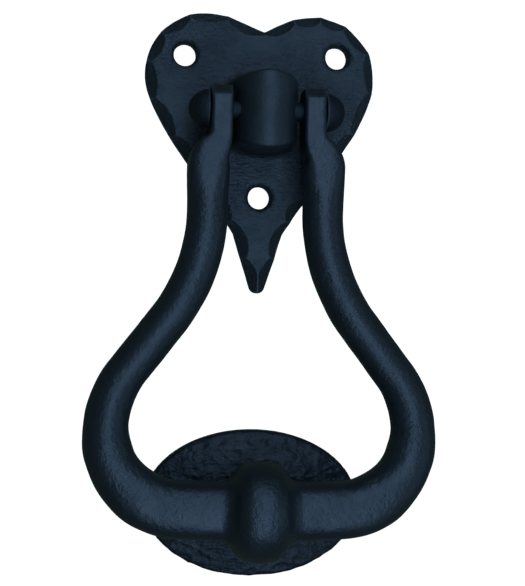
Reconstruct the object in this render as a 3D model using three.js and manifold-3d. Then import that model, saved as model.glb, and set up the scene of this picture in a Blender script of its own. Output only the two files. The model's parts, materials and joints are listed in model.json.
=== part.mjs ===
// A cast-iron door knocker: a heart-shaped backplate with a scalloped, hammered edge and a hinge
// lug, a pear-shaped handle with a striking knob, the rivet that the handle swings on, and the
// oval strike plate that the knob lands on.
//
// Millimetres. +X is to the viewer's right, +Y goes into the door and +Z is up. The door's
// surface is the plane y = 0, and the origin lies on it straight behind the middle of the rivet.
import * as THREE from "three";
import { mergeVertices } from "three/addons/utils/BufferGeometryUtils.js";
import Module from "manifold-3d";

const wasm = await Module();
wasm.setup();

const radians = THREE.MathUtils.degToRad;

// ---- Driving dimensions ----

const clearance = 0.3; // between every two pieces

// A cast screw hole, and the round-over at its mouth.
const screw = { radius: 3.25, mouthRadius: 4, mouthDepth: 1 };

// The backplate. Angles are above the horizontal, in degrees. The pattern for the casting was cut
// by hand, so the two sides of the heart differ a little.
const plate = {
  thickness: 5,
  notch: { x: 0.5, z: 24.4 },
  lobes: [
    { side: 1, x: 15.5, z: 12, radius: 17.6, from: 103, to: -5, leave: 15 },
    { side: -1, x: -15.9, z: 11.6, radius: 17.8, from: 101, to: -5, leave: 12 },
  ],
  leaveNotch: 6, // how far before a lobe the outline already has its direction
  reachWaist: 16.5, // how far the sides run in the waist's direction before they reach it
  waist: { x: 7.2, z: -34.1, slope: 30 }, // slope from the vertical
  tip: { x: 0.1, z: -49, radius: 2.3, taper: 17 },
  screws: [
    [-22.4, 17],
    [21.9, 17.9],
    [0, -23.6],
  ],
};

// Scallops round the backplate's front edge, widths in proportion from the notch down to the tip.
const scallop = {
  right: [9.2, 8, 7.8, 10.3, 12.1, 13.2, 8, 8, 8, 8, 11.6, 10.8],
  left: [11, 11.4, 9.6, 9.2, 11, 12.3, 9.5, 9.5, 9.5, 11.8, 10.5],
  inset: 3.3, // from the edge to the middle of a scallop, on the face
  ridgeInset: 1.3, // from the edge to the ridge between two scallops
  slope: 50, // of the cut, in degrees from the door's normal
};

// The hinge lug: flat sides, a half-round front, and ends that bulge up and down.
const lug = {
  halfWidth: 8.7,
  standoff: 24.8, // its front above the door
  halfHeight: 11.6,
  sideHalfHeight: 9.1,
  draft: 0.93, // how much shorter it is at the front
  skirt: 2.2, // the fillet where it grows out of the plate
};

const rivet = { standoff: 17.2, radius: 2.6, headRadius: 5.4, headHeight: 5.7 };

// The handle, in its own frame: the origin is on the rivet's axis and it hangs down -Z.
const handle = {
  leanOut: 2.15, // degrees away from the door while the knob rests
  eyeInner: 10,
  eyeOuter: 16.1,
  eyeTop: 6.35,
  eyeHalfDepth: 6,
  eyeChamfer: 2.8,
  eyeLength: 12.5,
  shoulderTurn: 35.8, // degrees that the bar bends outwards below its eye, and then back again
  shoulderRadius: 8.46,
  neckLength: 12,
  flareTurn: 37.5, // degrees that the arms spread
  flareRadius: 52,
  armLength: 17.1,
  hipRadius: 27.5,
  cornerTurn: 88.3,
  cornerRadius: 21.4,
};

// By distance along the bar from the eye's top: half width in the handle's plane, half depth
// across it, and the power of its section, from 2 for a round bar up to 9 for the flat eye.
const barSections = [
  { at: 0, across: 3.05, deep: 6, power: 9 },
  { at: 12.5, across: 3.05, deep: 6, power: 9 },
  { at: 23.1, across: 5.9, deep: 5.95, power: 3.6 },
  { at: 33, across: 5.75, deep: 5.75, power: 2.1 },
  { at: 85, across: 5.75, deep: 5.75, power: 2 },
  { at: 101, across: 6.2, deep: 6.2, power: 2 },
  { at: 111, across: 6.9, deep: 6.8, power: 2.1 },
  { at: 129, across: 8, deep: 7.6, power: 2.5 },
  { at: 159, across: 8.3, deep: 7.9, power: 2.6 },
];

// The knob's section: a flat ridge, two flanks and a foot on the bar, as [x, radius].
const knobSection = [
  [3.7, 14.2],
  [6.6, 12.2],
  [8.4, 9.6],
  [9, 6],
];

const strike = { z: -112.1, halfWidth: 31.2, halfHeight: 21.2, rim: 3.4, face: 6.9, screwX: 20 };

const blackIron = { color: 0x1c2530, roughness: 0.5, metalness: 0.1 };

// ---- Solids ----

// A closed three.js geometry as a solid.
function solid(geometry) {
  geometry.deleteAttribute("normal");
  geometry.deleteAttribute("uv");
  const merged = mergeVertices(geometry, 1e-4);
  const vertProperties = merged.attributes.position.array;
  const triVerts = new Uint32Array(merged.index.array);
  return new wasm.Manifold(new wasm.Mesh({ numProp: 3, vertProperties, triVerts }));
}

// A named mesh of a solid.
function piece(name, body) {
  const { vertProperties, triVerts } = body.getMesh();
  const geometry = new THREE.BufferGeometry();
  geometry.setAttribute("position", new THREE.BufferAttribute(vertProperties, 3));
  geometry.setIndex(new THREE.BufferAttribute(triVerts, 1));
  geometry.computeVertexNormals();
  const mesh = new THREE.Mesh(geometry, new THREE.MeshStandardMaterial(blackIron));
  mesh.name = name;
  return mesh;
}

// An (x, z) outline raised from the door to the given height.
function raised(shape, height) {
  const geometry = new THREE.ExtrudeGeometry(shape, { depth: height, bevelEnabled: false });
  return geometry.rotateX(Math.PI / 2);
}

// A cylinder along X through the rivet's axis.
function alongX(radius, length) {
  return new THREE.CylinderGeometry(radius, radius, length, 32).rotateZ(Math.PI / 2);
}

// The tool for a screw hole in a plate that is that thick at the hole.
function screwHole(x, z, thickness) {
  const beyond = 2;
  const flare = (screw.mouthRadius - screw.radius) / screw.mouthDepth;
  const profile = [
    new THREE.Vector2(0, -thickness - beyond),
    new THREE.Vector2(screw.mouthRadius + flare * beyond, -thickness - beyond),
    new THREE.Vector2(screw.radius, -thickness + screw.mouthDepth),
    new THREE.Vector2(screw.radius, beyond),
    new THREE.Vector2(0, beyond),
  ];
  return solid(new THREE.LatheGeometry(profile, 28)).translate([x, 0, z]);
}

// ---- Backplate ----

// One side of the heart's outline, from the notch round the lobe and down to the tip.
function heartSide(lobe) {
  const { notch, waist, tip, leaveNotch, reachWaist } = plate;
  const { side } = lobe;
  const angle = (degrees) => (side > 0 ? radians(degrees) : Math.PI - radians(degrees));
  const foot = angle(lobe.to);
  const slope = radians(waist.slope);
  const path = new THREE.Path();
  const top = angle(lobe.from);
  path.moveTo(notch.x, notch.z);
  path.quadraticCurveTo(
    lobe.x + lobe.radius * Math.cos(top) - side * leaveNotch * Math.sin(top),
    lobe.z + lobe.radius * Math.sin(top) + side * leaveNotch * Math.cos(top),
    lobe.x + lobe.radius * Math.cos(top),
    lobe.z + lobe.radius * Math.sin(top),
  );
  path.absarc(lobe.x, lobe.z, lobe.radius, top, foot, side > 0);
  path.bezierCurveTo(
    lobe.x + lobe.radius * Math.cos(foot) + side * lobe.leave * Math.sin(radians(lobe.to)),
    lobe.z + lobe.radius * Math.sin(foot) - lobe.leave * Math.cos(radians(lobe.to)),
    side * (waist.x + reachWaist * Math.sin(slope)),
    waist.z + reachWaist * Math.cos(slope),
    side * waist.x,
    waist.z,
  );
  path.absarc(tip.x, tip.z, tip.radius, angle(-tip.taper), angle(-90), side > 0);
  return path;
}

// The tool for one scallop: a slanting cylinder whose section on the plate's face bites into the
// edge by `inset` in its middle, and by `ridgeInset` at its two ends. Between those ends the edge
// itself bulges outwards by `bulge`.
function scallopTool(edgePoint, outward, width, bulge) {
  const { inset, ridgeInset, slope } = scallop;
  const sag = inset - ridgeInset - bulge;
  const radius = width ** 2 / (8 * sag) + sag / 2;
  const above = 1.5;
  const below = inset + 0.5;
  const across = new THREE.Vector3(outward.y, 0, -outward.x);
  const out = new THREE.Vector3(outward.x, 0, outward.y);
  const down = new THREE.Vector3(0, 1, 0).addScaledVector(out, Math.tan(radians(slope)));
  const middle = out.clone().multiplyScalar(radius - inset);
  middle.add(new THREE.Vector3(edgePoint.x, -plate.thickness, edgePoint.y));
  const segmentsPerMillimetre = 3;
  const segments = Math.round(radius * segmentsPerMillimetre);
  const geometry = new THREE.CylinderGeometry(radius, radius, above + below, segments);
  geometry.translate(0, (below - above) / 2, 0);
  geometry.applyMatrix4(new THREE.Matrix4().makeBasis(across, down, out).setPosition(middle));
  return solid(geometry);
}

// All the scallops on one side of the heart.
function scallopTools(path, widths, side) {
  const total = widths.reduce((sum, width) => sum + width, 0);
  let along = 0;
  return widths.map((width) => {
    const next = Math.min(1, along + width / total);
    const middle = (along + next) / 2;
    const tangent = path.getTangentAt(middle);
    const outward = new THREE.Vector2(-side * tangent.y, side * tangent.x);
    const [start, at, end] = [along, middle, next].map((share) => path.getPointAt(share));
    const chordMiddle = start.clone().add(end).multiplyScalar(0.5);
    const bulge = at.clone().sub(chordMiddle).dot(outward);
    along = next;
    return scallopTool(at, outward, start.distanceTo(end), bulge);
  });
}

// The lug's outline on the plate, grown all round by `grow`.
function lugOutline(grow) {
  const halfWidth = lug.halfWidth + grow;
  const bulge = lug.halfHeight - lug.sideHalfHeight;
  const radius = (halfWidth ** 2 + bulge ** 2) / (2 * bulge);
  const centre = lug.halfHeight + grow - radius;
  const reach = Math.asin(halfWidth / radius);
  const shape = new THREE.Shape();
  shape.absarc(0, centre, radius, Math.PI / 2 - reach, Math.PI / 2 + reach, false);
  shape.absarc(0, -centre, radius, -Math.PI / 2 - reach, -Math.PI / 2 + reach, false);
  shape.closePath();
  return shape;
}

function makeLug() {
  const body = raised(lugOutline(0), lug.standoff);
  const position = body.attributes.position;
  for (let i = 0; i < position.count; i += 1) {
    const height = -position.getY(i) / lug.standoff;
    position.setZ(i, position.getZ(i) * THREE.MathUtils.lerp(1, lug.draft, height));
  }

  // The fillet at its root, as a chamfer: its outline shrinks to the lug's on the way up.
  const skirtHeight = plate.thickness + lug.skirt;
  const skirt = raised(lugOutline(lug.skirt), skirtHeight);
  const skirtPosition = skirt.attributes.position;
  const shrinkX = lug.halfWidth / (lug.halfWidth + lug.skirt);
  const shrinkZ = lug.halfHeight / (lug.halfHeight + lug.skirt);
  for (let i = 0; i < skirtPosition.count; i += 1) {
    if (skirtPosition.getY(i) < -plate.thickness) {
      skirtPosition.setX(i, skirtPosition.getX(i) * shrinkX);
      skirtPosition.setZ(i, skirtPosition.getZ(i) * shrinkZ);
    }
  }

  const roundCentre = lug.halfWidth - lug.standoff;
  const front = new THREE.Shape();
  front.absarc(0, roundCentre, lug.halfWidth, Math.PI, 2 * Math.PI, false);
  front.lineTo(lug.halfWidth, 1);
  front.lineTo(-lug.halfWidth, 1);
  front.closePath();
  const frontHeight = 40;
  const settings = { depth: frontHeight, bevelEnabled: false, curveSegments: 20 };
  const rounded = new THREE.ExtrudeGeometry(front, settings).translate(0, 0, -frontHeight / 2);
  return solid(body).intersect(solid(rounded)).add(solid(skirt));
}

function makeBackplate() {
  const sides = plate.lobes.map(heartSide);
  const pointsPerSide = 50;
  const [right, left] = sides.map((path) => path.getSpacedPoints(pointsPerSide));
  const outline = new THREE.Shape([...right, ...left.reverse().slice(1, -1)]);
  let body = solid(raised(outline, plate.thickness));
  const tools = [
    ...scallopTools(sides[0], scallop.right, 1),
    ...scallopTools(sides[1], scallop.left, -1),
    ...plate.screws.map(([x, z]) => screwHole(x, z, plate.thickness)),
  ];
  for (const tool of tools) {
    body = body.subtract(tool);
  }
  const bore = alongX(rivet.radius + clearance, 40).translate(0, -rivet.standoff, 0);
  return body.add(makeLug()).subtract(solid(bore));
}

// ---- Rivet ----

// A dome-headed rivet along X: the shank, and a head beyond each of the handle's eyes.
function makeRivet() {
  const seat = handle.eyeOuter + clearance;
  const steps = 7;
  const dome = Array.from({ length: steps + 1 }, (_, i) => {
    const angle = (Math.PI / 2) * (i / steps);
    return new THREE.Vector2(
      rivet.headRadius * Math.sin(angle),
      seat + rivet.headHeight * Math.cos(angle),
    );
  });
  dome[0].x = 0;
  const upper = [...dome, new THREE.Vector2(rivet.radius, seat)];
  const lower = upper.map((point) => new THREE.Vector2(point.x, -point.y));
  const profile = [...lower, ...upper.reverse()];
  return solid(new THREE.LatheGeometry(profile, 28).rotateZ(Math.PI / 2));
}

// ---- Handle ----

// The right half of the bar's centre line, as stretches that each keep or turn their direction.
const { shoulderTurn, shoulderRadius, flareTurn, flareRadius, cornerTurn } = handle;
const stretches = [
  { length: handle.eyeLength },
  { turn: shoulderTurn, radius: shoulderRadius },
  { turn: -shoulderTurn, radius: shoulderRadius },
  { length: handle.neckLength },
  { turn: flareTurn, radius: flareRadius },
  { length: handle.armLength },
  { turn: -flareTurn, radius: handle.hipRadius },
  { turn: -cornerTurn, radius: handle.cornerRadius },
];

// The centre line as a path of (x, z), from the eye's top down and in to the knob.
function halfCentreLine() {
  const path = new THREE.Path();
  const at = new THREE.Vector2((handle.eyeInner + handle.eyeOuter) / 2, handle.eyeTop);
  let heading = -Math.PI / 2;
  path.moveTo(at.x, at.y);
  for (const { length, turn, radius } of stretches) {
    if (length) {
      at.x += length * Math.cos(heading);
      at.y += length * Math.sin(heading);
      path.lineTo(at.x, at.y);
    } else {
      const side = Math.sign(turn);
      const start = heading - (side * Math.PI) / 2;
      const end = start + radians(turn);
      const centre = at.clone();
      centre.x -= radius * Math.cos(start);
      centre.y -= radius * Math.sin(start);
      path.absarc(centre.x, centre.y, radius, start, end, side < 0);
      at.set(centre.x + radius * Math.cos(end), centre.y + radius * Math.sin(end));
      heading += radians(turn);
    }
  }
  path.lineTo(0, at.y + (at.x / -Math.cos(heading)) * Math.sin(heading));
  return path;
}

// The bar's section at a distance along it, smoothly between the stations.
function barSection(distance) {
  const next = Math.max(1, barSections.findIndex((section) => section.at > distance));
  const [a, b] = [barSections[next - 1], barSections[next]];
  const t = THREE.MathUtils.smoothstep(distance, a.at, b.at);
  const { lerp } = THREE.MathUtils;
  return {
    across: lerp(a.across, b.across, t),
    deep: lerp(a.deep, b.deep, t),
    power: lerp(a.power, b.power, t),
  };
}

// The bar from one eye's top round to the other's, as a bent cylinder.
function makeBar() {
  const path = halfCentreLine();
  const halfLength = path.getLength();
  const bends = 88;
  const geometry = new THREE.CylinderGeometry(1, 1, 2, 24, bends);
  const position = geometry.attributes.position;
  for (let i = 0; i < position.count; i += 1) {
    const along = position.getY(i); // -1 at the left eye's top, 1 at the right one's
    const side = along < 0 ? -1 : 1;
    const share = Math.min(1, 1 - Math.abs(along));
    const point = path.getPointAt(share);
    const tangent = path.getTangentAt(share);
    const { across, deep, power } = barSection(share * halfLength);
    const [x, z] = [position.getX(i), position.getZ(i)];
    const size = Math.abs(x) ** power + Math.abs(z) ** power;
    const stretch = size > 0 ? size ** (-1 / power) : 0;
    const inwards = x * stretch * across;
    position.setXYZ(
      i,
      side * (point.x + tangent.y * inwards),
      z * stretch * deep,
      point.y - tangent.x * inwards,
    );
  }
  return solid(geometry);
}

// Everything under the eyes' tops and the chamfers beside them.
function makeBelowTops() {
  const { eyeTop: top, eyeHalfDepth: deep, eyeChamfer: cut } = handle;
  const spread = 20;
  const low = -200;
  const outline = new THREE.Shape();
  outline.moveTo(cut - deep, top);
  outline.lineTo(-deep - spread, top - cut - spread);
  outline.lineTo(-deep - spread, low);
  outline.lineTo(deep + spread, low);
  outline.lineTo(deep + spread, top - cut - spread);
  outline.lineTo(deep - cut, top);
  outline.closePath();
  const depth = 200;
  const geometry = new THREE.ExtrudeGeometry(outline, { depth, bevelEnabled: false });
  geometry.rotateX(Math.PI / 2).rotateZ(Math.PI / 2);
  return solid(geometry.translate(-depth / 2, 0, 0));
}

function makeKnob() {
  const side = knobSection.map(([x, radius]) => new THREE.Vector2(radius, x));
  side.push(new THREE.Vector2(0, side[side.length - 1].y));
  const mirrored = side.map((point) => new THREE.Vector2(point.x, -point.y));
  const profile = [...mirrored.reverse(), ...side];
  return solid(new THREE.LatheGeometry(profile, 36).rotateZ(Math.PI / 2));
}

function makeHandle() {
  const path = halfCentreLine();
  const bottom = path.getPointAt(1).y;
  const bore = solid(alongX(rivet.radius + clearance, 60));
  return makeBar()
    .add(makeKnob().translate([0, 0, bottom]))
    .intersect(makeBelowTops())
    .subtract(bore);
}

// ---- Strike plate ----

// A domed oval. Its two screws sit behind the handle's bar.
function makeStrikePlate() {
  const steps = 6;
  const profile = Array.from({ length: steps + 1 }, (_, i) => {
    const out = i / steps;
    const height = strike.rim + (strike.face - strike.rim) * (1 - out ** 2);
    return new THREE.Vector2(out * strike.halfWidth, -height);
  });
  profile.push(new THREE.Vector2(strike.halfWidth, 0), new THREE.Vector2(0, 0));
  const geometry = new THREE.LatheGeometry(profile, 60);
  geometry.scale(1, 1, strike.halfHeight / strike.halfWidth).translate(0, 0, strike.z);
  const out = strike.screwX / strike.halfWidth;
  const thickness = strike.rim + (strike.face - strike.rim) * (1 - out ** 2);
  return solid(geometry)
    .subtract(screwHole(strike.screwX, strike.z, thickness))
    .subtract(screwHole(-strike.screwX, strike.z, thickness));
}

// ---- Assembly ----

const handleMesh = piece("handle", makeHandle());
handleMesh.position.set(0, -rivet.standoff, 0);
handleMesh.rotation.x = -radians(handle.leanOut);

const rivetMesh = piece("pivot_rivet", makeRivet());
rivetMesh.position.set(0, -rivet.standoff, 0);

const group = new THREE.Group();
group.add(piece("backplate", makeBackplate()), rivetMesh, handleMesh);
group.add(piece("strike_plate", makeStrikePlate()));

export default group;
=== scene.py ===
"""The looks of a cast-iron door knocker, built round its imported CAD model.

Each casting is carved from a distance field: a function that gives the distance from a point to
the casting's surface, put together from rounded pieces and cut by scallops, holes and bores, the
way the real pattern was filed up. The surface where it is zero becomes a fine mesh.

Shapes are worked out in millimetres in the model's own frame (+X right, +Y into the door, +Z up,
the door's surface at y = 0) and become metres when a mesh is made.
"""

import json
import math

import bpy
import numpy as np
import openvdb
from mathutils import Matrix, Vector, noise


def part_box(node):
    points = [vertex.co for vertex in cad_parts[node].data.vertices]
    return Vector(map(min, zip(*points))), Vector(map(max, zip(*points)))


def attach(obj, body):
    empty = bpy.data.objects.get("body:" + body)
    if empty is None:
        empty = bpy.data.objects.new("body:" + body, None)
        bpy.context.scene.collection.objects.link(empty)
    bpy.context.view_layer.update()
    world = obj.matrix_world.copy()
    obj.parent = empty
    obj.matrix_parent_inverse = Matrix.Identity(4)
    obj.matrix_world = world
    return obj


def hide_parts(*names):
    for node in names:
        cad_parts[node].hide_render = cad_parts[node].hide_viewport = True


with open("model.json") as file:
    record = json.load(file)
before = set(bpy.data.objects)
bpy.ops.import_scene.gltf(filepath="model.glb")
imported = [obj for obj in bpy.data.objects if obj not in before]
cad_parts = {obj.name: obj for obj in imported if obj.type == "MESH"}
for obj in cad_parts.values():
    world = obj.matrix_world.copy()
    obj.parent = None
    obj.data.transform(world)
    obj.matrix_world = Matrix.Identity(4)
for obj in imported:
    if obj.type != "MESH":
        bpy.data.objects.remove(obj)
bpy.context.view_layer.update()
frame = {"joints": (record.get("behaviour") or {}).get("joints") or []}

MM = 0.001


def millimetres(vector):
    """A position of the frame, in millimetres."""
    return np.array(vector, float) / MM


# ---- Dimensions, in millimetres ----

PIN = millimetres(frame["joints"][0]["pos_m"])  # a point on the rivet's axis
PLATE_BOX = [millimetres(corner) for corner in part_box("backplate")]
RIVET_BOX = [millimetres(corner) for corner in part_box("pivot_rivet")]
HANDLE_BOX = [millimetres(corner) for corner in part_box("handle")]
STRIKE_BOX = [millimetres(corner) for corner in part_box("strike_plate")]

# The heart's outline: a notch, two lobes (arcs with start and end angles in degrees), a waist on
# each side and a round tip. The lengths are those of the curves' handles.
PLATE_THICKNESS = 5.0
PLATE_EDGE_BLEND = 0.4
NOTCH = np.array([0.5, 24.4])
LEAVE_NOTCH = 6.0
REACH_WAIST = 16.5
LOBES = {
    1: {"centre": (15.5, 12.0), "radius": 17.6, "start": 103, "end": -5, "leave": 15.0},
    -1: {"centre": (-15.9, 11.6), "radius": 17.8, "start": 101, "end": -5, "leave": 12.0},
}
WAIST = (7.2, -34.1)
WAIST_SLOPE = 30
TIP = (0.1, -49.0)
TIP_RADIUS = 2.3
TIP_TAPER = 17
SCREW_HOLES = [(-22.4, 17.0), (21.9, 17.9), (0.0, -23.6)]
SCREW_RADIUS = 3.25
MOUTH_ROUNDING = 2.0

# The scallops filed along the front edge: their widths in order down each side of the heart, how
# far the middle and the ends of each reach in, and how steeply they fall to the edge, in degrees.
SCALLOP_WIDTHS = {
    1: [9.2, 8, 7.8, 10.3, 12.1, 13.2, 8, 8, 8, 8, 11.6, 10.8],
    -1: [11, 11.4, 9.6, 9.2, 11, 12.3, 9.5, 9.5, 9.5, 11.8, 10.5],
}
SCALLOP_INSET = 3.3
RIDGE_INSET = 1.3
SCALLOP_SLOPE = 50
SCALLOP_BLEND = 0.12

LUG_HALF_WIDTH = 8.7
LUG_FRONT = -24.8
LUG_HALF_HEIGHT = 11.6
LUG_SIDE_HALF_HEIGHT = 9.1
LUG_DRAFT = 0.93  # height at the lug's front as a share of its height at the plate
LUG_BLEND = 1.2
LUG_FILLET = 3.4

SHANK_RADIUS = 2.6
BORE_RADIUS = 2.9
BORE_BLEND = 0.4
CLEARANCE = 0.3
HEAD_BLEND = 0.4
SHANK_FILLET = 0.3

HANDLE_LEAN = 2.15  # degrees away from the door while the knob rests
EYE_INNER, EYE_OUTER = 10.0, 16.1
EYE_TOP = 6.35
EYE_HALF_DEPTH = 6.0
EYE_CHAMFER = 2.8
EYE_CHAMFER_BLEND = 0.4
EYE_TOP_BLEND = 0.6
# The right half of the bar's centre line, from the eye's top: (turn in degrees, radius) or
# (None, length).
STRETCHES = [
    (None, 12.5),
    (35.8, 8.46),
    (-35.8, 8.46),
    (None, 12.0),
    (37.5, 52.0),
    (None, 17.1),
    (-37.5, 27.5),
    (-88.3, 21.4),
    (None, 24.0),
]
# Along the bar from the eye's top: half width in the handle's plane, half depth across it, and
# the power of its section, from 2 for a round bar up to 9 for the flat-sided eye.
BAR_ALONG = [0, 12.5, 23.1, 33, 85, 101, 111, 129, 159]
BAR_ACROSS = [3.05, 3.05, 5.9, 5.75, 5.75, 6.2, 6.9, 8.0, 8.3]
BAR_DEEP = [6.0, 6.0, 5.95, 5.75, 5.75, 6.2, 6.8, 7.6, 7.9]
BAR_POWER = [9, 9, 3.6, 2.1, 2, 2, 2.1, 2.5, 2.6]
KNOB_RADIUS = 14.2
# The knob's section as facets: (slope in degrees, x and radius of a point on it).
KNOB_FACETS = [(0, 0.0, KNOB_RADIUS), (28, 4.0, KNOB_RADIUS), (56, 6.9, 12.0), (80, 8.4, 9.4)]
KNOB_BLEND = 2.0
KNOB_FILLET = 3.0

STRIKE_RIM = 3.4
STRIKE_SCREWS = 20.0  # each hole's distance from the plate's middle
STRIKE_EDGE_BLEND = 1.2

# The size of the grid that each casting is carved on.
PLATE_GRID = 0.3
RIVET_GRID = 0.28
HANDLE_GRID = 0.4
STRIKE_GRID = 0.33


# ---- Distance fields ----


def smooth_max(a, b, blend):
    """The larger of two distances, with the corner where they cross rounded over `blend`."""
    share = np.clip(0.5 + 0.5 * (a - b) / blend, 0, 1)
    return b + (a - b) * share + blend * share * (1 - share)


def smooth_min(a, b, blend):
    return -smooth_max(-a, -b, blend)


def polygon_distance(x, z, polygon):
    """The signed distance to a closed outline of (x, z) points, negative inside."""
    nearest = np.full(np.broadcast(x, z).shape, np.inf, np.float32)
    inside = np.zeros(nearest.shape, bool)
    for (ax, az), (bx, bz) in zip(polygon, np.roll(polygon, -1, axis=0)):
        ex, ez = bx - ax, bz - az
        share = np.clip(((x - ax) * ex + (z - az) * ez) / (ex * ex + ez * ez), 0, 1)
        square = (x - ax - share * ex) ** 2 + (z - az - share * ez) ** 2
        np.minimum(nearest, square, out=nearest)
        if az != bz:
            crossing = ((az > z) != (bz > z)) & (x < (z - az) * ex / ez + ax)
            inside ^= crossing
    return np.where(inside, -1, 1) * np.sqrt(nearest)


def carve(name, distance, box, voxel, roughen):
    """A smooth mesh, in metres, of the surface where distance(x, y, z) is zero."""
    low, high = box
    margin = 3 * voxel
    axes = [
        np.arange(start - margin, stop + margin, voxel, dtype=np.float32)
        for start, stop in zip(low, high)
    ]
    field = distance(*np.ix_(*axes)).astype(np.float32)
    grid = openvdb.FloatGrid(margin)
    grid.copyFromArray(np.clip(field, -margin, margin))
    points, quads = grid.convertToQuads(0.0)
    points = points.astype(np.float64) * voxel + np.array([axis[0] for axis in axes])

    # Settle each point on the true surface, then roughen it along the surface's own direction.
    for _ in range(2):
        slope, steepness = gradient(distance, points)
        points -= slope * (distance(*points.T) / steepness)[:, None]
    slope, _ = gradient(distance, points)
    points += slope * roughen(points)[:, None]
    edge = edge_sharpness(distance, points)
    points = np.clip(points, low, high)

    mesh = bpy.data.meshes.new(name)
    mesh.from_pydata(points * MM, [], quads[:, ::-1].tolist())
    # The edge attribute is what the paint uses to place its painted edge highlight.
    mesh.attributes.new("edge", "FLOAT", "POINT").data.foreach_set("value", edge)
    mesh.update()
    mesh.shade_smooth()
    obj = bpy.data.objects.new(name, mesh)
    bpy.context.scene.collection.objects.link(obj)
    return obj


def gradient(distance, points):
    """The direction in which the distance grows at each point, and how fast."""
    step, least = 0.04, 0.2
    slopes = []
    for axis in range(3):
        shift = np.zeros(3)
        shift[axis] = step
        slopes.append(distance(*(points + shift).T) - distance(*(points - shift).T))
    slopes = np.stack(slopes, axis=1) / (2 * step)
    steepness = np.maximum(np.linalg.norm(slopes, axis=1), least)
    return slopes / steepness[:, None], steepness


def edge_sharpness(distance, points):
    """How far each point lies on an outward edge, from 0 on a plain surface to 1 on a ridge."""
    step = 0.35
    bend = -6 * distance(*points.T)
    for axis in range(3):
        shift = np.zeros(3)
        shift[axis] = step
        bend += distance(*(points + shift).T) + distance(*(points - shift).T)
    plain, ridge = 0.8, 2.4  # curvature, per millimetre
    return np.clip((bend / step**2 - plain) / (ridge - plain), 0, 1)


def bumps(points, size, seed):
    """Soft noise between about -1 and 1, its lumps about `size` millimetres across."""
    shift = Vector((seed * 17.3, seed * 5.1, seed * 9.7))
    return np.array([noise.noise(Vector(point) / size + shift) for point in points])


def dressed(points):
    """The unevenness left by the file on a dressed casting."""
    return 0.11 * bumps(points, 7.0, 1) + 0.03 * bumps(points, 2.2, 2)


# ---- Backplate ----


def arc(centre, radius, start, end, steps):
    """Points along an arc, from one angle to another in degrees."""
    angles = np.radians(np.linspace(start, end, steps))
    return np.stack([centre[0] + radius * np.cos(angles), centre[1] + radius * np.sin(angles)], 1)


def bezier(points, steps):
    """A curve through a Bezier polygon of any order."""
    t = np.linspace(0, 1, steps)[:, None]
    rows = [np.repeat(np.array([point], float), steps, axis=0) for point in points]
    while len(rows) > 1:
        rows = [a * (1 - t) + b * t for a, b in zip(rows, rows[1:])]
    return rows[0]


def heart_side(side):
    """One side of the heart's outline, from the notch round the lobe and down to the tip."""
    lobe = LOBES[side]

    def angle(degrees):
        return degrees if side > 0 else 180 - degrees

    round_lobe = arc(lobe["centre"], lobe["radius"], angle(lobe["start"]), angle(lobe["end"]), 60)
    top, foot = round_lobe[0], round_lobe[-1]
    start, end = math.radians(angle(lobe["start"])), math.radians(lobe["end"])
    before_top = top + side * LEAVE_NOTCH * np.array([-math.sin(start), math.cos(start)])
    after_foot = foot + lobe["leave"] * np.array([side * math.sin(end), -math.cos(end)])
    slope = math.radians(WAIST_SLOPE)
    waist = np.array([side * WAIST[0], WAIST[1]])
    before_waist = waist + REACH_WAIST * np.array([side * math.sin(slope), math.cos(slope)])
    round_tip = arc(TIP, TIP_RADIUS, angle(-TIP_TAPER), angle(-90), 10)
    return np.concatenate(
        [
            bezier([NOTCH, before_top, top], 12)[:-1],
            round_lobe,
            bezier([foot, after_foot, before_waist, waist], 40)[1:],
            round_tip,
        ]
    )


def scallops_on(side, outline):
    """(centre, outward direction, radius) of each scallop's circle on the plate's face."""
    lengths = np.concatenate([[0], np.cumsum(np.linalg.norm(np.diff(outline, axis=0), axis=1))])
    widths = np.array(SCALLOP_WIDTHS[side], float)
    widths *= lengths[-1] / widths.sum()

    def point(length):
        return np.array([np.interp(length, lengths, outline[:, k]) for k in (0, 1)])

    made = []
    for width, end in zip(widths, np.cumsum(widths)):
        middle = end - width / 2
        at, before, after = (point(middle + step) for step in (0, -0.5, 0.5))
        along = (after - before) / np.linalg.norm(after - before)
        outward = side * np.array([-along[1], along[0]])
        ridges = point(end - width), point(end)
        bulge = (at - (ridges[0] + ridges[1]) / 2) @ outward
        chord = np.linalg.norm(ridges[1] - ridges[0])
        sag = SCALLOP_INSET - RIDGE_INSET - bulge
        radius = chord**2 / (8 * sag) + sag / 2
        made.append((at + outward * (radius - SCALLOP_INSET), outward, radius))
    return made


HEART_SIDES = {side: heart_side(side) for side in (1, -1)}
HEART = np.concatenate([HEART_SIDES[1], HEART_SIDES[-1][::-1][1:-1]])
SCALLOPS = [cut for side in (1, -1) for cut in scallops_on(side, HEART_SIDES[side])]


def plate_distance(x, y, z):
    """The heart, with its scallops and screw holes."""
    edge = polygon_distance(x, z, HEART)
    middle = PLATE_THICKNESS / 2
    distance = smooth_max(edge, np.abs(y + middle) - middle, PLATE_EDGE_BLEND)
    deep = y + PLATE_THICKNESS
    falling = math.tan(math.radians(SCALLOP_SLOPE))
    for centre, outward, radius in SCALLOPS:
        across = x - centre[0] - outward[0] * deep * falling
        up = z - centre[1] - outward[1] * deep * falling
        bite = (radius - np.sqrt(across**2 + up**2)) * math.cos(math.radians(SCALLOP_SLOPE))
        distance = smooth_max(distance, bite, SCALLOP_BLEND)
    for hole_x, hole_z in SCREW_HOLES:
        bore = SCREW_RADIUS - np.sqrt((x - hole_x) ** 2 + (z - hole_z) ** 2)
        distance = np.maximum(distance, smooth_max(-deep, bore, MOUTH_ROUNDING))
    return distance


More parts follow.
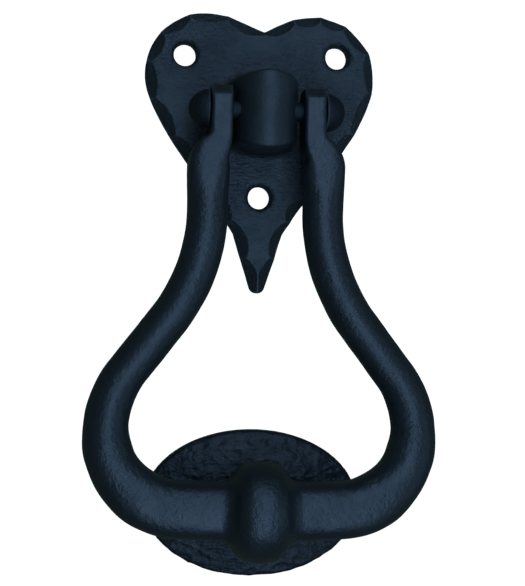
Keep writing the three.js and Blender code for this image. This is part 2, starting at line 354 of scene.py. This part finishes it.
def lug_distance(x, y, z):
    """The hinge lug: flat sides, bulging ends and a half-round front."""
    height = np.clip(y / LUG_FRONT, 0, 1)
    upright = z / (1 + (LUG_DRAFT - 1) * height)
    bulge = LUG_HALF_HEIGHT - LUG_SIDE_HALF_HEIGHT
    radius = (LUG_HALF_WIDTH**2 + bulge**2) / (2 * bulge)
    ends = np.sqrt(x**2 + (np.abs(upright) + radius - LUG_HALF_HEIGHT) ** 2) - radius
    round_centre = LUG_FRONT + LUG_HALF_WIDTH
    forward = np.maximum(round_centre - y, 0)
    front = np.sqrt(x**2 + forward**2) - LUG_HALF_WIDTH
    return smooth_max(ends, front, LUG_BLEND)


def backplate_distance(x, y, z):
    """The plate and its lug in one casting, flat at the back and bored for the rivet."""
    plate = plate_distance(x, y, z)
    lug = lug_distance(x, y, z)
    distance = smooth_min(plate, lug, LUG_FILLET)
    distance = np.maximum(distance, y)
    bore = BORE_RADIUS - np.sqrt((y - PIN[1]) ** 2 + z**2)
    return smooth_max(distance, bore, BORE_BLEND)


def make_backplate():
    return carve("backplate_casting", backplate_distance, PLATE_BOX, PLATE_GRID, dressed)


# ---- Rivet ----


def rivet_distance(x, y, z):
    """The shank and two domed heads, each flattened a little by the hammer."""
    from_axis = np.sqrt((y - PIN[1]) ** 2 + z**2)
    seat = EYE_OUTER + CLEARANCE
    head_radius = RIVET_BOX[1][2]
    head_height = RIVET_BOX[1][0] - seat
    beyond = np.abs(x) - seat
    dome = np.sqrt((beyond / head_height) ** 2 + (from_axis / head_radius) ** 2) - 1
    head = smooth_max(dome * min(head_height, head_radius), -beyond, HEAD_BLEND)
    shank = np.maximum(from_axis - SHANK_RADIUS, np.abs(x) - seat - 1)
    return smooth_min(head, shank, SHANK_FILLET)


def make_rivet():
    def hammered(points):
        return 0.1 * bumps(points, 3.0, 3)

    return carve("rivet", rivet_distance, RIVET_BOX, RIVET_GRID, hammered)


# ---- Handle, in its own frame: the origin is on the rivet's axis and it hangs down -Z ----


def centre_line():
    """The bar's right half as lines and arcs, each with the length of bar before it."""
    at = np.array([(EYE_INNER + EYE_OUTER) / 2, EYE_TOP])
    heading, along = -90.0, 0.0
    parts = []
    for turn, size in STRETCHES:
        direction = np.array([math.cos(math.radians(heading)), math.sin(math.radians(heading))])
        if turn is None:
            parts.append({"start": at, "direction": direction, "length": size, "along": along})
            at = at + size * direction
            along += size
        else:
            side = math.copysign(1, turn)
            normal = side * np.array([-direction[1], direction[0]])
            centre = at + size * normal
            sweep = math.radians(abs(turn))
            parts.append(
                {"centre": centre, "radius": size, "from": -normal, "side": side,
                 "sweep": sweep, "along": along}
            )
            heading += turn
            rad = math.radians(heading)
            at = centre - size * side * np.array([-math.sin(rad), math.cos(rad)])
            along += size * sweep
    return parts, along


CENTRE_LINE, BAR_LENGTH = centre_line()


def on_bar(x, z):
    """How far outside the bar's centre line a point lies, and how far along the bar."""
    shape = np.broadcast(x, z).shape
    nearest = np.full(shape, np.inf, np.float32)
    outside = np.zeros(shape, np.float32)
    along = np.zeros(shape, np.float32)
    for part in CENTRE_LINE:
        if "centre" in part:
            dx, dz = x - part["centre"][0], z - part["centre"][1]
            fx, fz = part["from"]
            turned = part["side"] * np.arctan2(fx * dz - fz * dx, fx * dx + fz * dz)
            turned = np.clip(turned, 0, part["sweep"])
            angle = part["side"] * turned
            ux = fx * np.cos(angle) - fz * np.sin(angle)
            uz = fx * np.sin(angle) + fz * np.cos(angle)
            gap_x, gap_z = dx - part["radius"] * ux, dz - part["radius"] * uz
            signed = (gap_x * ux + gap_z * uz) * part["side"] * -1
            distance_along = part["along"] + part["radius"] * turned
        else:
            dx, dz = x - part["start"][0], z - part["start"][1]
            tx, tz = part["direction"]
            reach = np.clip(dx * tx + dz * tz, 0, part["length"])
            gap_x, gap_z = dx - reach * tx, dz - reach * tz
            signed = gap_z * tx - gap_x * tz
            distance_along = part["along"] + reach
        square = gap_x**2 + gap_z**2
        closer = square < nearest
        nearest = np.where(closer, square, nearest)
        away = np.sqrt(square)
        outside = np.where(closer, np.where(signed < 0, -away, away), outside)
        along = np.where(closer, distance_along, along)
    return outside, along


def eased(along, stations, values):
    """A value along the bar that eases from each station to the next."""
    index = np.clip(np.searchsorted(stations, along, side="right") - 1, 0, len(stations) - 2)
    stations, values = np.array(stations, np.float32), np.array(values, np.float32)
    share = (along - stations[index]) / (stations[index + 1] - stations[index])
    share = np.clip(share, 0, 1)
    share = share * share * (3 - 2 * share)
    return values[index] * (1 - share) + values[index + 1] * share


def bar_distance(x, y, z):
    """The right arm with its eye's top cut level and chamfered, and half of the bottom bar."""
    outside, along = on_bar(x, z)
    across = eased(along, BAR_ALONG, BAR_ACROSS)
    deep = eased(along, BAR_ALONG, BAR_DEEP)
    power = eased(along, BAR_ALONG, BAR_POWER)
    around = ((np.abs(outside) / across) ** power + (np.abs(y) / deep) ** power) ** (1 / power)
    distance = (around - 1) * np.minimum(across, deep)
    top = smooth_max(
        z - EYE_TOP,
        (np.abs(y) + z - (EYE_HALF_DEPTH + EYE_TOP - EYE_CHAMFER)) / math.sqrt(2),
        EYE_CHAMFER_BLEND,
    )
    return smooth_max(distance, top, EYE_TOP_BLEND)


def knob_distance(x, y, z):
    """A bead round the bar, turned about X: a ridge between two flanks that fall to the bar."""
    from_axis = np.sqrt(y**2 + (z - BAR_BOTTOM) ** 2)
    distance = None
    for slope, at, radius in KNOB_FACETS:
        slope = math.radians(slope)
        facet = (np.abs(x) - at) * math.sin(slope) + (from_axis - radius) * math.cos(slope)
        distance = facet if distance is None else smooth_max(distance, facet, KNOB_BLEND)
    return distance


def bar_bottom():
    """The height of the bar's centre line in the middle of the knob."""
    last = CENTRE_LINE[-1]
    share = last["start"][0] / -last["direction"][0]
    return last["start"][1] + share * last["direction"][1]


BAR_BOTTOM = bar_bottom()


def handle_distance(x, y, z):
    """Both halves of the handle, mirrored about its middle, with the knob and the bores."""
    x = np.abs(x)
    distance = smooth_min(bar_distance(x, y, z), knob_distance(x, y, z), KNOB_FILLET)
    bore = BORE_RADIUS - np.sqrt(y**2 + z**2)
    return smooth_max(distance, bore, BORE_BLEND)


def make_handle():
    half_width = HANDLE_BOX[1][0]
    inside_box = 0.06
    reach = KNOB_RADIUS - inside_box
    low = (-half_width, -reach, BAR_BOTTOM - reach)
    high = (half_width, reach, EYE_TOP)
    obj = carve("handle_casting", handle_distance, (low, high), HANDLE_GRID, dressed)
    place = Matrix.Translation(Vector(PIN) * MM)
    obj.data.transform(place @ Matrix.Rotation(-math.radians(HANDLE_LEAN), 4, "X"))
    return obj


# ---- Strike plate ----


def strike_distance(x, y, z):
    """An oval plate with a low dome, flat at the back, with two screw holes."""
    centre = (STRIKE_BOX[0] + STRIKE_BOX[1]) / 2
    half = (STRIKE_BOX[1] - STRIKE_BOX[0]) / 2
    across, up = x - centre[0], z - centre[2]
    level = np.sqrt((across / half[0]) ** 2 + (up / half[2]) ** 2)
    steep = np.sqrt((across / half[0] ** 2) ** 2 + (up / half[2] ** 2) ** 2)
    edge = level * (level - 1) / np.maximum(steep, 1e-4)
    rise = -STRIKE_BOX[0][1] - STRIKE_RIM
    face = -y - STRIKE_RIM - rise * (1 - np.minimum(level, 1) ** 2)
    distance = smooth_max(edge, face, STRIKE_EDGE_BLEND)
    distance = np.maximum(distance, y)
    for side in (1, -1):
        bore = SCREW_RADIUS - np.sqrt((across - side * STRIKE_SCREWS) ** 2 + up**2)
        distance = np.maximum(distance, smooth_max(face, bore, MOUTH_ROUNDING))
    return distance


def make_strike_plate():
    def creased(points):
        """The hammered face: shallow dents and sharp folds that run across the plate."""
        front = np.clip((-points[:, 1] - 1) / 2, 0, 1)
        flow = points * [0.6, 1, 1.1]
        folds = np.abs(bumps(flow, 3.2, 5)) + 0.4 * np.abs(bumps(flow, 1.7, 6))
        return front * (0.2 * bumps(points, 8.0, 4) - 0.55 * folds)

    return carve("strike_casting", strike_distance, STRIKE_BOX, STRIKE_GRID, creased)


# ---- Materials ----


# The paint's darkest and lightest colour, and a painted highlight: the lighter colour given to
# sharp edges, standing in for the glint of light along them.
PAINT = [(0.0088, 0.0112, 0.0122), (0.0125, 0.016, 0.0178)]
EDGE_GLINT = (0.07, 0.085, 0.1)
GRAIN_ROUGHNESS = 0.6
GRAIN_RANGE = (0.3, 0.7)  # where nearly all of a noise texture's values lie
# The sizes of the paint's patches, in millimetres.
COLOUR_PATCH = 9.0
# The next size is that of the patches in the painted edge highlight.
GLINT_PATCH = 4.0
GLOSS_PATCH = 5.0
CAST_PATCH = 16.0
# The depth over which the coarse grain is filed away, and the share of it that is left.
FILED_FADE = 3
FILED_REST = 0.15


def painted_iron(name, grit, stretch, relief, roughness, shade=1.0, sheen=0.5, filed_from=None):
    """Satin black paint on cast iron. `grit` holds the sizes of the coarse and fine grain in
    millimetres and `relief` their heights; `stretch` draws the coarse grain out along X. The
    coarse grain comes and goes in patches, as sand-cast iron has it, and is filed off the parts
    that stand more than `filed_from` millimetres off the door."""
    material = bpy.data.materials.new(name)
    material.use_nodes = True
    nodes, links = material.node_tree.nodes, material.node_tree.links
    shader = nodes["Principled BSDF"]
    place = nodes.new("ShaderNodeTexCoord")

    def grain(size, detail, squash=1.0):
        mapping = nodes.new("ShaderNodeMapping")
        mapping.inputs["Scale"].default_value = (1 / squash, 1, 1)
        links.new(place.outputs["Object"], mapping.inputs["Vector"])
        texture = nodes.new("ShaderNodeTexNoise")
        texture.inputs["Scale"].default_value = 1 / (size * MM)
        texture.inputs["Detail"].default_value = detail
        texture.inputs["Roughness"].default_value = GRAIN_ROUGHNESS
        links.new(mapping.outputs["Vector"], texture.inputs["Vector"])
        return texture.outputs["Fac"]

    def spread(source, low, high):
        """The middle range of a grain, spread from low to high."""
        made = nodes.new("ShaderNodeMapRange")
        made.inputs["From Min"].default_value = GRAIN_RANGE[0]
        made.inputs["From Max"].default_value = GRAIN_RANGE[1]
        made.inputs["To Min"].default_value = low
        made.inputs["To Max"].default_value = high
        links.new(source, made.inputs["Value"])
        return made.outputs["Result"]

    def product(first, second):
        made = nodes.new("ShaderNodeMath")
        made.operation = "MULTIPLY"
        links.new(first, made.inputs[0])
        links.new(second, made.inputs[1])
        return made.outputs["Value"]

    def bump(height, strength, distance, under=None):
        made = nodes.new("ShaderNodeBump")
        made.inputs["Distance"].default_value = distance * MM
        links.new(height, made.inputs["Height"])
        links.new(strength, made.inputs["Strength"])
        if under is not None:
            links.new(under, made.inputs["Normal"])
        return made.outputs["Normal"]

    # The paint's colours are multiplied by shade; below 1 this is painted shade, darkening a
    # piece that stands in shadow or turns away from the light.
    paint = nodes.new("ShaderNodeValToRGB")
    for stop, position, colour in zip(paint.color_ramp.elements, GRAIN_RANGE, PAINT):
        stop.position = position
        stop.color = (*(shade * part for part in colour), 1)
    links.new(grain(COLOUR_PATCH, 3), paint.inputs["Fac"])
    # Painted highlight: where the edge attribute marks a sharp edge, the paint is mixed in
    # patches towards a lighter colour, standing in for the glint of light along the edges.
    sharpness = nodes.new("ShaderNodeAttribute")
    sharpness.attribute_name = "edge"
    glint_mask = product(sharpness.outputs["Fac"], spread(grain(GLINT_PATCH, 2), 0.25, 1.0))
    glint = nodes.new("ShaderNodeMix")
    glint.data_type = "RGBA"
    links.new(glint_mask, glint.inputs["Factor"])
    links.new(paint.outputs["Color"], glint.inputs["A"])
    glint.inputs["B"].default_value = (*EDGE_GLINT, 1)
    links.new(glint.outputs["Result"], shader.inputs["Base Color"])
    links.new(spread(grain(GLOSS_PATCH, 5, stretch), *roughness), shader.inputs["Roughness"])

    patches = spread(grain(CAST_PATCH, 2), 0.4, 1.0)
    rough_cast = patches
    if filed_from is not None:
        depth = nodes.new("ShaderNodeSeparateXYZ")
        links.new(place.outputs["Object"], depth.inputs["Vector"])
        left = nodes.new("ShaderNodeMapRange")
        left.inputs["From Min"].default_value = -(filed_from + FILED_FADE) * MM
        left.inputs["From Max"].default_value = -filed_from * MM
        left.inputs["To Min"].default_value = FILED_REST
        links.new(depth.outputs["Y"], left.inputs["Value"])
        rough_cast = product(patches, left.outputs["Result"])
    sand = bump(grain(grit[0], 3, stretch), rough_cast, relief[0])
    links.new(bump(grain(grit[1], 2), patches, relief[1], sand), shader.inputs["Normal"])
    shader.inputs["Specular IOR Level"].default_value = sheen
    return material


def finish_piece(obj, body, node, material):
    """Paints a casting and has it ride on a body in the place of a CAD node."""
    obj.data.materials.append(material)
    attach(obj, body)
    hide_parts(node)


finish_piece(
    make_backplate(), "door_plates", "backplate",
    painted_iron(
        "plate paint", grit=(1.0, 0.45), stretch=2.2, relief=(1.0, 0.18), roughness=(0.4, 0.56),
        filed_from=6,
    ),
)
# Painted shade on the rivet: its paint is darker than the rest, standing in for the shade in the
# gaps beside the lug and on the heads that face sideways.
finish_piece(
    make_rivet(), "door_plates", "pivot_rivet",
    painted_iron(
        "rivet paint", grit=(0.9, 0.3), stretch=1.0, relief=(0.15, 0.04), roughness=(0.5, 0.65),
        shade=0.6, sheen=0.25,
    ),
)
finish_piece(
    make_handle(), "handle", "handle",
    painted_iron(
        "handle paint", grit=(1.4, 0.5), stretch=1.0, relief=(0.34, 0.06), roughness=(0.35, 0.46)
    ),
)
# Painted shade on the strike plate: its paint is darker than the rest, standing in for the shade
# the handle and knob cast on it.
finish_piece(
    make_strike_plate(), "door_plates", "strike_plate",
    painted_iron(
        "strike paint", grit=(1.6, 0.45), stretch=1.5, relief=(0.65, 0.1), roughness=(0.36, 0.52),
        shade=0.78, sheen=0.32,
    ),
)


# ---- Studio ----

SENSOR_WIDTH = 36.0
VIEW_WIDTH = 0.1517  # metres across the view at the plate's face
DISTANCE = 0.42
AZIMUTH = -7.6
ROLL = 1.35
LOOK_AT = Vector((0.0015, -PLATE_THICKNESS * MM, -0.0511))
WINDOW = (0.5, 0.85, 1.42)  # the lights' colour
LIT_POINT = Vector((0, 0, -0.05))
# Each light's name, place, width and height in metres, and power in watts.
LIGHTS = [
    ("key", (0.06, -0.76, -0.16), (0.38, 1.2), 2.8),
    ("upper", (0.08, -0.62, 0.53), (0.42, 0.5), 1.1),
    ("lower", (0.08, -0.62, -0.50), (0.42, 0.5), 0.4),
    ("fill", (0.9, -0.55, -0.15), (0.5, 0.8), 0.7),
]


def make_camera():
    """A camera a little to the left of the knocker, level with its middle."""
    azimuth = math.radians(AZIMUTH)
    back = Vector((math.sin(azimuth), -math.cos(azimuth), 0))
    data = bpy.data.cameras.new("camera")
    data.sensor_fit = "HORIZONTAL"
    data.sensor_width = SENSOR_WIDTH
    data.lens = SENSOR_WIDTH * DISTANCE / VIEW_WIDTH
    data.clip_start = 0.01
    camera = bpy.data.objects.new("camera", data)
    bpy.context.scene.collection.objects.link(camera)
    turned = back.to_track_quat("Z", "Y").to_matrix().to_4x4()
    roll = Matrix.Rotation(math.radians(ROLL), 4, "Z")
    camera.matrix_world = Matrix.Translation(LOOK_AT + back * DISTANCE) @ turned @ roll
    bpy.context.scene.camera = camera


def area_light(name, place, size, power):
    data = bpy.data.lights.new(name, "AREA")
    data.shape = "RECTANGLE"
    data.size, data.size_y = size
    data.energy = power
    data.color = WINDOW
    light = bpy.data.objects.new(name, data)
    light.location = place
    light.rotation_euler = (Vector(place) - LIT_POINT).to_track_quat("Z", "Y").to_euler()
    bpy.context.scene.collection.objects.link(light)


def make_floor():
    """A pale sweep: a floor well under the knocker that curves up into a wall behind it. It is
    only there to be seen, and throws no light or shadow on the iron."""
    level, wall, bend, half = -0.30, 1.6, 0.5, 12.0
    profile = [(-half, level)]
    steps = 16
    for step in range(steps + 1):
        angle = math.pi / 2 * step / steps
        back, up = bend * math.sin(angle), bend * math.cos(angle)
        profile.append((wall - bend + back, level + bend - up))
    profile.append((wall, half))
    vertices = [(x, y, z) for y, z in profile for x in (-half, half)]
    faces = [(2 * i, 2 * i + 1, 2 * i + 3, 2 * i + 2) for i in range(len(profile) - 1)]
    mesh = bpy.data.meshes.new("floor")
    mesh.from_pydata(vertices, [], faces)
    mesh.shade_smooth()
    floor = bpy.data.objects.new("floor", mesh)
    floor.visible_diffuse = False
    floor.visible_glossy = False
    floor.visible_shadow = False
    bpy.context.scene.collection.objects.link(floor)
    material = bpy.data.materials.new("pale floor")
    material.use_nodes = True
    shader = material.node_tree.nodes["Principled BSDF"]
    shader.inputs["Base Color"].default_value = (0.9, 0.9, 0.9, 1)
    shader.inputs["Roughness"].default_value = 0.9
    shader.inputs["Emission Color"].default_value = (1, 1, 1, 1)
    shader.inputs["Emission Strength"].default_value = 1.0
    mesh.materials.append(material)


def make_world():
    """A dim room round the knocker, with white studio walls to be seen past the floor's edges."""
    world = bpy.data.worlds.new("studio")
    world.use_nodes = True
    nodes, links = world.node_tree.nodes, world.node_tree.links
    room = nodes["Background"]
    room.inputs["Color"].default_value = (0.66, 1.0, 0.9, 1)
    room.inputs["Strength"].default_value = 0.075
    walls = nodes.new("ShaderNodeBackground")
    walls.inputs["Color"].default_value = (1, 1, 1, 1)
    walls.inputs["Strength"].default_value = 1.0
    ray = nodes.new("ShaderNodeLightPath")
    choice = nodes.new("ShaderNodeMixShader")
    links.new(ray.outputs["Is Camera Ray"], choice.inputs["Fac"])
    links.new(room.outputs["Background"], choice.inputs[1])
    links.new(walls.outputs["Background"], choice.inputs[2])
    links.new(choice.outputs["Shader"], nodes["World Output"].inputs["Surface"])
    bpy.context.scene.world = world


make_camera()
make_floor()
for light in LIGHTS:
    area_light(*light)
make_world()
bpy.context.scene.view_settings.view_transform = "Standard"
